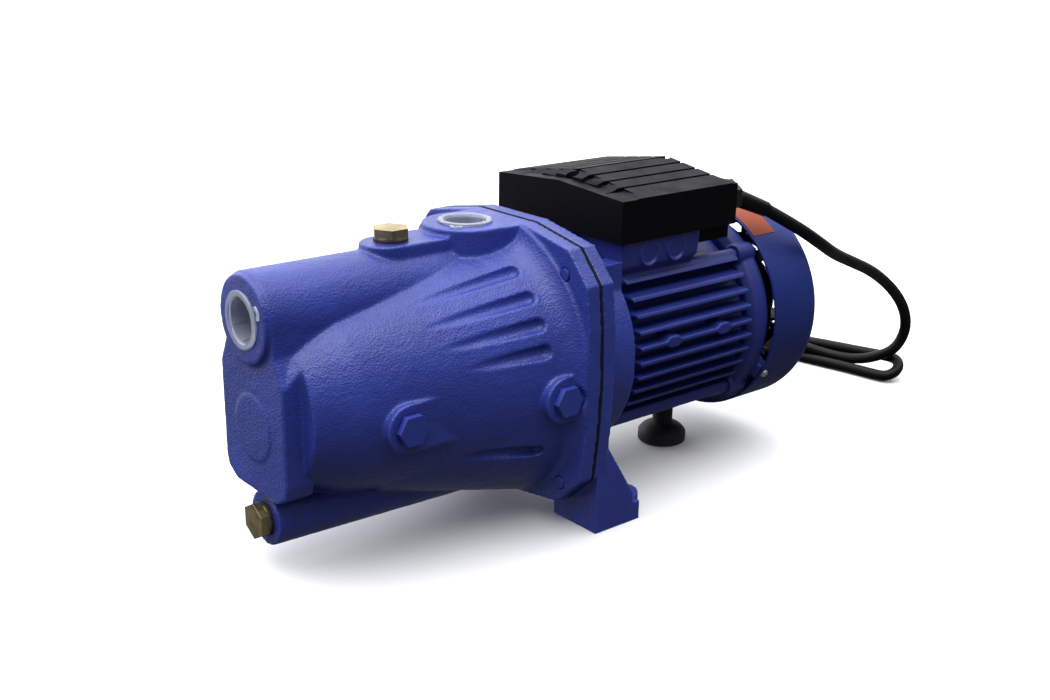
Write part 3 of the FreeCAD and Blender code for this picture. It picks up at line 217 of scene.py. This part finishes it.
def metal(name, color, roughness, grain=0.00003, stretch=(1, 1, 1), tarnish=0.75):
    """Machined or plated metal with tool marks along one axis and duller patches."""
    finish = Finish(name, color, roughness, metallic=1.0)
    patches = finish.span(finish.noise(0.007), 0.4, 0.65, 0, 1)
    finish.set("Base Color", finish.mix(patches, color, scaled(color, tarnish)))
    finish.set("Roughness", finish.span(finish.noise(0.004), 0.3, 0.7, roughness - 0.05, roughness + 0.12))
    finish.bump(finish.noise(0.0008, 2, stretch=stretch), grain)
    return finish.material


def laminations():
    """Stacked electrical sheets: fine rings along the shaft."""
    finish = Finish("lamination_steel", (0.32, 0.33, 0.35), 0.45, metallic=1.0)
    sheets = finish.noise(0.0012, 2, stretch=(1, 0.02, 0.02))
    finish.set("Base Color", finish.mix(sheets, (0.22, 0.22, 0.24), (0.42, 0.42, 0.44)))
    finish.bump(sheets, 0.0002)
    return finish.material


def make_finishes():
    blue = (0.024, 0.042, 0.28)
    return {
        "casing_enamel": cast_enamel(),
        "painted_steel": smooth_enamel("painted_steel", blue, 0.36, 0.00009),
        "motor_enamel": smooth_enamel("motor_enamel", (0.016, 0.028, 0.21), 0.45, 0.00012),
        "cowl_enamel": smooth_enamel("cowl_enamel", (0.013, 0.028, 0.18), 0.45, 0.00006, shine=0.25),
        "gasket_fibre": moulded("gasket_fibre", (0.006, 0.006, 0.008), 0.9, 0.0001, Specular_IOR_Level=0.2),
        "zinc_steel": metal("zinc_steel", (0.62, 0.62, 0.60), 0.35),
        "bare_steel": metal("bare_steel", (0.56, 0.56, 0.57), 0.28, stretch=(8, 1, 1)),
        "spring_steel": metal("spring_steel", (0.45, 0.45, 0.46), 0.35),
        "bearing_steel": metal("bearing_steel", (0.66, 0.66, 0.67), 0.16, 0.00001),
        "lamination_steel": laminations(),
        "cast_aluminium": metal("cast_aluminium", (0.68, 0.69, 0.70), 0.45, 0.0001),
        "copper_winding": metal("copper_winding", (0.50, 0.20, 0.08), 0.35, 0.0004, (0.1, 1, 1)),
        "brass": metal("brass", (0.50, 0.41, 0.21), 0.34, 0.00005, tarnish=0.6),
        "red_fibre": moulded("red_fibre", (0.030, 0.014, 0.012), 0.8, 0.0001),
        "wet_plastic": moulded("wet_plastic", (0.05, 0.05, 0.055), 0.5),
        "black_rubber": moulded("black_rubber", (0.006, 0.006, 0.006), 0.6, 0.00008),
        "ceramic_white": moulded("ceramic_white", (0.75, 0.73, 0.68), 0.25, 0.00002),
        "carbon_graphite": moulded("carbon_graphite", (0.03, 0.03, 0.033), 0.35, 0.00003),
        "fan_plastic": moulded("fan_plastic", (0.006, 0.006, 0.006), 0.5),
        "box_plastic": moulded(
            "box_plastic", (0.002, 0.002, 0.003), 0.52, 0.00006, Specular_IOR_Level=0.09),
        "board_plastic": moulded("board_plastic", (0.55, 0.50, 0.38), 0.5),
        "white_plastic": moulded("white_plastic", (0.70, 0.70, 0.68), 0.35),
        "gland_plastic": moulded("gland_plastic", (0.004, 0.004, 0.004), 0.42),
        "foot_rubber": moulded("foot_rubber", (0.005, 0.005, 0.009), 0.6, 0.00008),
        "cord_rubber": moulded("cord_rubber", (0.002, 0.002, 0.002), 0.42, 0.00008, Specular_IOR_Level=0.2),
        "tie_plastic": moulded("tie_plastic", (0.004, 0.004, 0.004), 0.5),
        "plug_plastic": moulded("plug_plastic", (0.004, 0.004, 0.004), 0.4),
    }


def cap_plastic():
    """Thin milky polyethylene that lets the dark port show through."""
    finish = Finish("cap_plastic", (0.5, 0.52, 0.6), 0.35, Transmission_Weight=0.7, IOR=1.35)
    finish.set("Base Color", finish.mix(finish.noise(0.01), (0.62, 0.65, 0.76), (0.76, 0.79, 0.88)))
    finish.bump(finish.noise(0.004, 2), 0.0002)
    return finish.material


def label_print(name, color):
    """Glossy printed foil, slightly wrinkled."""
    finish = Finish(name, color, 0.38, Specular_IOR_Level=0.2)
    finish.set("Base Color", finish.mix(finish.noise(0.006), scaled(color, 0.88), scaled(color, 1.08)))
    finish.bump(finish.noise(0.005, 2), 0.0002)
    return finish.material


# ---------------------------------------------------------------- mesh helpers

def link(name, data):
    piece = bpy.data.objects.new(name, data)
    bpy.context.scene.collection.objects.link(piece)
    return piece


def mesh_piece(name, mesh_data, material, body):
    """An object from a bmesh, smooth where it is nearly flat, riding on a body."""
    mesh = bpy.data.meshes.new(name)
    bmesh.ops.recalc_face_normals(mesh_data, faces=mesh_data.faces)
    mesh_data.to_mesh(mesh)
    mesh_data.free()
    piece = link(name, mesh)
    dress(piece, material)
    shade(piece)
    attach(piece, body)
    return piece


def dress(piece, *materials):
    piece.data.materials.clear()
    for material in materials:
        piece.data.materials.append(material)


def shade(piece, angle=32):
    """Smooth shading with sharp edges over an angle in degrees."""
    for face in piece.data.polygons:
        face.use_smooth = True
    piece.data.set_sharp_from_angle(angle=math.radians(angle))


def applied(piece):
    """Bakes a piece's modifiers into its mesh."""
    graph = bpy.context.evaluated_depsgraph_get()
    graph.update()
    mesh = bpy.data.meshes.new_from_object(piece.evaluated_get(graph))
    piece.modifiers.clear()
    piece.data = mesh
    return piece


def softened(node, width, segments=2):
    """Small rounded edges on a CAD node, by modifiers only."""
    cad = NODES[node]
    weld = cad.modifiers.new("weld", "WELD")
    weld.merge_threshold = 1e-6
    planar = cad.modifiers.new("planar", "DECIMATE")
    planar.decimate_type = "DISSOLVE"
    planar.angle_limit = math.radians(0.6)
    bevel = cad.modifiers.new("bevel", "BEVEL")
    bevel.width = width
    bevel.segments = segments
    bevel.limit_method = "ANGLE"
    bevel.angle_limit = math.radians(35)
    bevel.use_clamp_overlap = True


def near_axis(point, axis, radius, low, high):
    """A test for points inside a cylinder about the axis through point, from low to high along it."""
    def inside(spot):
        along = (spot - point).dot(axis)
        return low <= along <= high and ((spot - point) - axis * along).length <= radius
    return inside


def beyond(axis, limit):
    """A test for points further along an axis than a limit; a negative axis turns it round."""
    return lambda spot: spot.dot(axis) >= limit


CRISP_SHARE = 0.12
SAND_SIZE = 6 * MM


def cast(node, body, voxel, passes, crisp, grain, material):
    """A casting from a CAD node: edges and corners rounded as foundry fillets, skin slightly uneven.

    Places that pass a test in crisp stay nearly sharp.
    """
    mesh_data = bmesh.new()
    mesh_data.from_mesh(NODES[node].data)
    bmesh.ops.remove_doubles(mesh_data, verts=mesh_data.verts, dist=2e-6)
    mesh = bpy.data.meshes.new(node + "_cast")
    mesh_data.to_mesh(mesh)
    mesh_data.free()
    piece = link(node + "_cast", mesh)
    remesh = piece.modifiers.new("remesh", "REMESH")
    remesh.mode = "VOXEL"
    remesh.voxel_size = voxel
    remesh.use_smooth_shade = True
    applied(piece)
    rounded = piece.vertex_groups.new(name="rounded")
    sharp = [v.index for v in piece.data.vertices if any(test(v.co) for test in crisp)]
    rounded.add(range(len(piece.data.vertices)), 1.0, "REPLACE")
    rounded.add(sharp, CRISP_SHARE, "REPLACE")
    smooth = piece.modifiers.new("smooth", "SMOOTH")
    smooth.factor = 0.5
    smooth.iterations = passes
    smooth.vertex_group = "rounded"
    clouds = bpy.data.textures.new(node + "_sand", "CLOUDS")
    clouds.noise_scale = SAND_SIZE
    clouds.noise_depth = 2
    uneven = piece.modifiers.new("uneven", "DISPLACE")
    uneven.texture = clouds
    uneven.texture_coords = "LOCAL"
    uneven.strength = grain * 2
    uneven.mid_level = 0.5
    uneven.vertex_group = "rounded"
    applied(piece)
    piece.vertex_groups.clear()
    dress(piece, material)
    for face in piece.data.polygons:
        face.use_smooth = True
    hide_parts(node)
    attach(piece, body)


def lathe(profile, place, axis, segments=72):
    """A bmesh turned from (along, radius) points round an axis; the profile is closed."""
    mesh_data = bmesh.new()
    turn = AXIS_Z.rotation_difference(axis)
    rings = []
    for step in range(segments):
        angle = 2 * math.pi * step / segments
        spots = [Vector((radius * math.cos(angle), radius * math.sin(angle), along))
                 for along, radius in profile]
        rings.append([mesh_data.verts.new(place + turn @ spot) for spot in spots])
    for ring, after in zip(rings, rings[1:] + rings[:1]):
        for i in range(len(profile)):
            j = (i + 1) % len(profile)
            mesh_data.faces.new([ring[i], ring[j], after[j], after[i]])
    bmesh.ops.remove_doubles(mesh_data, verts=mesh_data.verts, dist=1e-7)
    bmesh.ops.dissolve_degenerate(mesh_data, dist=1e-7, edges=mesh_data.edges)
    return mesh_data


def slab(mesh_data, outline, low, high, turn, place):
    """Adds a slab: an outline of (u, v) points raised from low to high, then turned and placed."""
    floor = [mesh_data.verts.new(place + turn @ Vector((u, v, low))) for u, v in outline]
    roof = [mesh_data.verts.new(place + turn @ Vector((u, v, high))) for u, v in outline]
    mesh_data.faces.new(floor[::-1])
    mesh_data.faces.new(roof)
    for i in range(len(outline)):
        j = (i + 1) % len(outline)
        mesh_data.faces.new([floor[i], floor[j], roof[j], roof[i]])


# ---------------------------------------------------------------- cord, in millimetres but its radius

CORD_RADIUS = 4.5 * MM
CORD_ROUTE = [
    (149, -53, 183), (162, -61.5, 174.5), (177, -68, 165), (199, -67.5, 152.5), (228, -58, 139.2),
    (263, -50, 125.9), (296, -43.5, 113), (322, -39.5, 99.5), (344.5, -37, 84.5), (361.5, -35.5, 68.5),
    (371, -34, 52)]
LANDING = [
    (374, -30, 37.5), (368.8, -25.8, 26), (363.5, -14.5, 18.5), (360.2, -2.5, 13.4), (358.4, 11.4, 10.2),
    (355.4, 27.1, 9.6), (351, 40.5, 10.8), (345.6, 49.6, 13.2)]
TAIL_ROUTE = [(325, 98.6, 5.2), (313, 112, 6), (298, 121.5, 9.5), (281, 127, 14.5), (265, 129, 18.5)]
HANK_NEAR = Vector((365.6, -21.8, 0))
HANK_FAR = Vector((332.4, 142.8, 0))
NEAR_FOLD = 10.5
NEAR_FOLD_FADE = 26
FAR_FOLD = 20
STRAND_NEAR = 7.6
STRAND_WAIST = 8.8
TIE_PLACE = 107
FOLD_BULGE = 1.03
LAYERS = (4.6, 14.0)


def hank_points():
    """The cord inside the hank: out on the upper layer, back, down the near fold, and out again below."""
    along = HANK_FAR - HANK_NEAR
    span = along.length
    heading = along.normalized()
    left = Vector((-heading.y, heading.x, 0))

    def strand(distance, side, height):
        if distance < TIE_PLACE:
            drawn_in = STRAND_NEAR + (STRAND_WAIST - STRAND_NEAR) * distance / TIE_PLACE
            half = NEAR_FOLD + (drawn_in - NEAR_FOLD) * min(1, distance / NEAR_FOLD_FADE)
        else:
            half = STRAND_WAIST + (FAR_FOLD - STRAND_WAIST) * (distance - TIE_PLACE) / (span - TIE_PLACE)
        return HANK_NEAR + heading * distance + left * side * half + AXIS_Z * height

    def fold(middle, radius, start, heights):
        """Half a turn, clockwise from above, from the direction of start."""
        steps = len(heights)
        spots = []
        for step, height in enumerate(heights):
            angle = math.pi * (step + 0.5) / steps
            turned = start * math.cos(angle) + start.cross(AXIS_Z) * math.sin(angle)
            spots.append(middle + turned * radius * FOLD_BULGE + AXIS_Z * height)
        return spots

    low, high = LAYERS
    out = [strand(d, 1, high) for d in (82, 103, 125, 146, span)]
    turn_far = fold(HANK_FAR, FAR_FOLD, left, [high] * 7)
    back = [strand(d, -1, height) for d, height in (
        (span, high), (146, high), (125, high), (103, high), (80, 14.3), (56, 15.4), (32, 16.2), (8, 16.6))]
    turn_near = fold(HANK_NEAR, NEAR_FOLD, -left, [16, 14.6, 12.6, 10.3, 8.0, 6.2, 5.0])
    below = [strand(d, 1, low) for d in (8, 32, 56, 80, 100)]
    return out + turn_far + back + turn_near + below


def make_cord(finishes):
    curve = bpy.data.curves.new("mains_lead", "CURVE")
    curve.dimensions = "3D"
    curve.bevel_depth = CORD_RADIUS
    curve.bevel_resolution = 8
    curve.use_fill_caps = True
    points = [Vector(p) for p in CORD_ROUTE + LANDING] + hank_points() + [Vector(p) for p in TAIL_ROUTE]
    spline = curve.splines.new("NURBS")
    spline.points.add(len(points) - 1)
    for knot, point in zip(spline.points, points):
        knot.co = (*(point * MM), 1)
    spline.order_u = 3
    spline.use_endpoint_u = True
    spline.resolution_u = 10
    cord = link("mains_lead", curve)
    dress(cord, finishes["cord_rubber"])
    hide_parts("power_cord", "power_cord_hank", "power_cord_tail")
    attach(cord, "pump")


# ---------------------------------------------------------------- pieces that only the looks need

PORT_RIM_RADIUS = 18.5 * MM
PLUG_SEAT_RADIUS = 12.5 * MM
SUCTION_HEIGHT = 159 * MM
DISCHARGE_X = -78 * MM
PRIMING_PLACE = Vector((-134 * MM, 0, 190.5 * MM))
CAP_RADIUS = 14.7 * MM
CAP_DEPTH = 15 * MM
CAP_WALL = 1.1 * MM
CAP_RIM = 17.3 * MM
CAP_RIM_HEIGHT = 1.6 * MM
CAP_RIBS = 6
TAB_MIDDLE = 20.2 * MM
TAB_ROOT = 18.6 * MM


def cup_profile(depth, radius, wall, rim, rim_height):
    """Half section of a press-in cup: floor inside the port, rim on its mouth."""
    return [(-depth, 0), (-depth, radius - 1.2 * MM), (-depth + 1.2 * MM, radius),
            (-0.4 * MM, radius + 0.1 * MM), (0.0, rim - 0.4 * MM), (0.5 * MM, rim),
            (rim_height - 0.4 * MM, rim), (rim_height, rim - 0.5 * MM),
            (rim_height, radius - wall + 0.4 * MM), (rim_height - 0.5 * MM, radius - wall),
            (-depth + wall + 0.8 * MM, radius - wall - 0.3 * MM),
            (-depth + wall, radius - wall - 1.2 * MM), (-depth + wall, 0)]


def port_cap(name, place, axis, tab_direction, material):
    """A press-in transport cap: a ribbed cup with a rim and a small loop to pull it out by."""
    cup = cup_profile(CAP_DEPTH, CAP_RADIUS, CAP_WALL, CAP_RIM, CAP_RIM_HEIGHT)
    mesh_data = lathe(cup, place, axis)
    turn = AXIS_Z.rotation_difference(axis)
    for step in range(CAP_RIBS):
        angle = math.radians(360 / CAP_RIBS * step + 20)
        spin = Matrix.Rotation(angle, 3, "Z").to_quaternion()
        rib = [(-0.45 * MM, CAP_RADIUS - 2.6 * MM), (0.45 * MM, CAP_RADIUS - 2.6 * MM),
               (0.45 * MM, CAP_RADIUS - 0.9 * MM), (-0.45 * MM, CAP_RADIUS - 0.9 * MM)]
        slab(mesh_data, rib, -13.8 * MM, -1.2 * MM, turn @ spin, place)
    tab = tab_direction.normalized()
    side = axis.cross(tab)
    loop = []
    for step in range(13):
        angle = math.radians(-100 + 200 * step / 12)
        loop.append((TAB_MIDDLE + 2.6 * MM * math.cos(angle), 4.2 * MM * math.sin(angle)))
    inner = [(TAB_ROOT + 0.62 * (u - TAB_ROOT), v * 0.45) for u, v in loop]
    spots = []
    for height in (0.3 * MM, 1.3 * MM):
        for outline in (loop, inner):
            spots.append([mesh_data.verts.new(place + tab * u + side * v + axis * height)
                          for u, v in outline])
    low_out, low_in, high_out, high_in = spots
    for i in range(len(loop) - 1):
        for a, b in ((low_out, high_out), (high_out, high_in), (high_in, low_in), (low_in, low_out)):
            mesh_data.faces.new([a[i], a[i + 1], b[i + 1], b[i]])
    for end in (0, -1):
        mesh_data.faces.new([low_out[end], high_out[end], high_in[end], low_in[end]])
    mesh_piece(name, mesh_data, material, "pump")


def make_caps():
    material = cap_plastic()
    casing_low, casing_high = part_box("pump_casing")
    suction = Vector((casing_low.x, 0, SUCTION_HEIGHT))
    discharge = Vector((DISCHARGE_X, 0, casing_high.z))
    port_cap("suction_cap", suction, -AXIS_X, Vector((0, -1, 0.45)), material)
    port_cap("discharge_cap", discharge, AXIS_Z, Vector((-1, -0.75, 0)), material)


LABEL_ANGLES = (17, 40)
LABEL_ROWS = 24
LABEL_COLUMNS = 12


def make_label():
    """A blank printed label with a dark border, bent over the fan cover's front rim."""
    low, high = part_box("fan_cover")
    radius = (high.y - low.y) / 2 + 0.12 * MM
    thick = 0.2 * MM
    x_start, x_end = low.x + 2 * MM, low.x + 25 * MM
    angle_start, angle_end = [math.radians(angle) for angle in LABEL_ANGLES]
    rows, columns, border = LABEL_ROWS, LABEL_COLUMNS, 1
    mesh_data = bmesh.new()
    grids = []
    for lift in (0, thick):
        grid = []
        for i in range(rows + 1):
            angle = angle_start + (angle_end - angle_start) * i / rows
            out = Vector((0, -math.sin(angle), math.cos(angle)))
            grid.append([mesh_data.verts.new(out * (radius + lift) + Vector((x, 0, SHAFT_HEIGHT)))
                         for x in (x_start + (x_end - x_start) * j / columns for j in range(columns + 1))])
        grids.append(grid)
    under, over = grids
    for i in range(rows):
        for j in range(columns):
            mesh_data.faces.new([under[i][j], under[i + 1][j], under[i + 1][j + 1], under[i][j + 1]])
            top = mesh_data.faces.new([over[i][j], over[i][j + 1], over[i + 1][j + 1], over[i + 1][j]])
            edge = i < border + 1 or i >= rows - border - 1 or j < border or j >= columns - border
            top.material_index = 1 if edge else 0
    for grid_edge in ([(0, j) for j in range(columns + 1)], [(rows, j) for j in range(columns + 1)],
                      [(i, 0) for i in range(rows + 1)], [(i, columns) for i in range(rows + 1)]):
        for (i, j), (m, n) in zip(grid_edge, grid_edge[1:]):
            side = mesh_data.faces.new([under[i][j], under[m][n], over[m][n], over[i][j]])
            side.material_index = 1
    label = mesh_piece("blank_label", mesh_data, None, "pump")
    dress(label, label_print("label_orange", (0.30, 0.045, 0.010)),
          label_print("label_border", (0.03, 0.02, 0.02)))


# ---------------------------------------------------------------- stage

FLOOR_HALF = 20
FLOOR_GAP = 0.2 * MM


def make_floor():
    """A pale floor that takes shadows but throws no light back on the pump."""
    mesh_data = bmesh.new()
    bmesh.ops.create_grid(mesh_data, x_segments=1, y_segments=1, size=FLOOR_HALF)
    mesh = bpy.data.meshes.new("floor")
    mesh_data.to_mesh(mesh)
    mesh_data.free()
    floor = link("floor", mesh)
    floor.location.z = -FLOOR_GAP
    finish = Finish("floor_paper", (0.93, 0.93, 0.94), 0.85)
    finish.set("Base Color", finish.mix(finish.noise(0.3), (0.92, 0.92, 0.93), (0.95, 0.95, 0.955)))
    dress(floor, finish.material)
    floor.visible_diffuse = False
    floor.visible_glossy = False


SUN_STRENGTH = 1.5
SUN_SPREAD = math.radians(55)
SUN_DIRECTION = Vector((0.22, 0.20, -1))
SKY_BRIGHT_SIDE = (0.0, 0.45, 0.89)
SKY_RAMP = {"From Min": 0.0, "From Max": 1.0, "To Min": 0.12, "To Max": 2.6}


def make_lights():
    """A wide soft light from above, under a sky that brightens upwards and a little to the back."""
    data = bpy.data.lights.new("overhead", "SUN")
    data.energy = SUN_STRENGTH
    data.angle = SUN_SPREAD
    lamp = link("overhead", data)
    lamp.rotation_mode = "QUATERNION"
    lamp.rotation_quaternion = SUN_DIRECTION.to_track_quat("-Z", "Y")
    scene = bpy.context.scene
    scene.world = bpy.data.worlds.new("studio")
    scene.world.use_nodes = True
    tree = scene.world.node_tree
    toward = tree.nodes.new("ShaderNodeVectorMath")
    toward.operation = "DOT_PRODUCT"
    toward.inputs[1].default_value = SKY_BRIGHT_SIDE
    tree.links.new(tree.nodes.new("ShaderNodeTexCoord").outputs["Generated"], toward.inputs[0])
    bright = tree.nodes.new("ShaderNodeMapRange")
    for socket, number in SKY_RAMP.items():
        bright.inputs[socket].default_value = number
    tree.links.new(toward.outputs["Value"], bright.inputs["Value"])
    background = tree.nodes["Background"]
    background.inputs["Color"].default_value = (0.97, 0.98, 1.0, 1)
    tree.links.new(bright.outputs["Result"], background.inputs["Strength"])
    scene.view_settings.view_transform = "Standard"


# ---------------------------------------------------------------- build

def dress_cad(finishes):
    """Every CAD node takes the finish that its record names."""
    for entry in frame["record"]["subparts"]:
        dress(NODES[entry["node"]], finishes[entry["material_slot"]])


def round_small_parts():
    for node, width in (
            ("priming_plug", 0.25), ("drain_plug", 0.25), ("side_plugs", 1.3), ("flange_bolts", 0.4),
            ("terminal_box_lid", 0.3), ("terminal_box_base", 0.7), ("cable_gland_nut", 0.3),
            ("cable_gland_body", 0.3), ("lid_screws", 0.2), ("fan_cover_screws", 0.2),
            ("motor_tie_bolts", 0.2), ("rear_foot_pad", 0.6), ("cord_tie", 0.4), ("mains_plug", 0.5)):
        softened(node, width * MM)


def make_castings(finishes):
    """The four castings. Port rims, plug seats and mating faces stay crisp."""
    low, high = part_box("pump_casing")
    down = Vector((0, 0, -1))
    suction = Vector((low.x, 0, SUCTION_HEIGHT))
    discharge = Vector((DISCHARGE_X, 0, high.z))
    seats = [near_axis(suction, AXIS_X, PORT_RIM_RADIUS, -2 * MM, 24 * MM),
             near_axis(discharge, down, PORT_RIM_RADIUS, -2 * MM, 24 * MM),
             near_axis(PRIMING_PLACE, down, PLUG_SEAT_RADIUS, -2 * MM, 6 * MM),
             beyond(AXIS_X, high.x - 3 * MM)]
    cast("pump_casing", "pump", 0.9 * MM, 7, seats, 0.00016, finishes["casing_enamel"])
    low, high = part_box("pump_bracket")
    mating = [beyond(-AXIS_X, -low.x - 3 * MM), beyond(AXIS_X, high.x - 2 * MM), beyond(down, -1.5 * MM)]
    cast("pump_bracket", "pump", 1.0 * MM, 7, mating, 0.00018, finishes["casing_enamel"])
    cast("motor_frame", "pump", 0.8 * MM, 4, (), 0.00008, finishes["motor_enamel"])
    cast("rear_end_shield", "pump", 0.8 * MM, 5, (), 0.00008, finishes["motor_enamel"])


make_camera()
finishes = make_finishes()
make_cord(finishes)
dress_cad(finishes)
round_small_parts()
make_castings(finishes)
make_caps()
make_label()
make_floor()
make_lights()
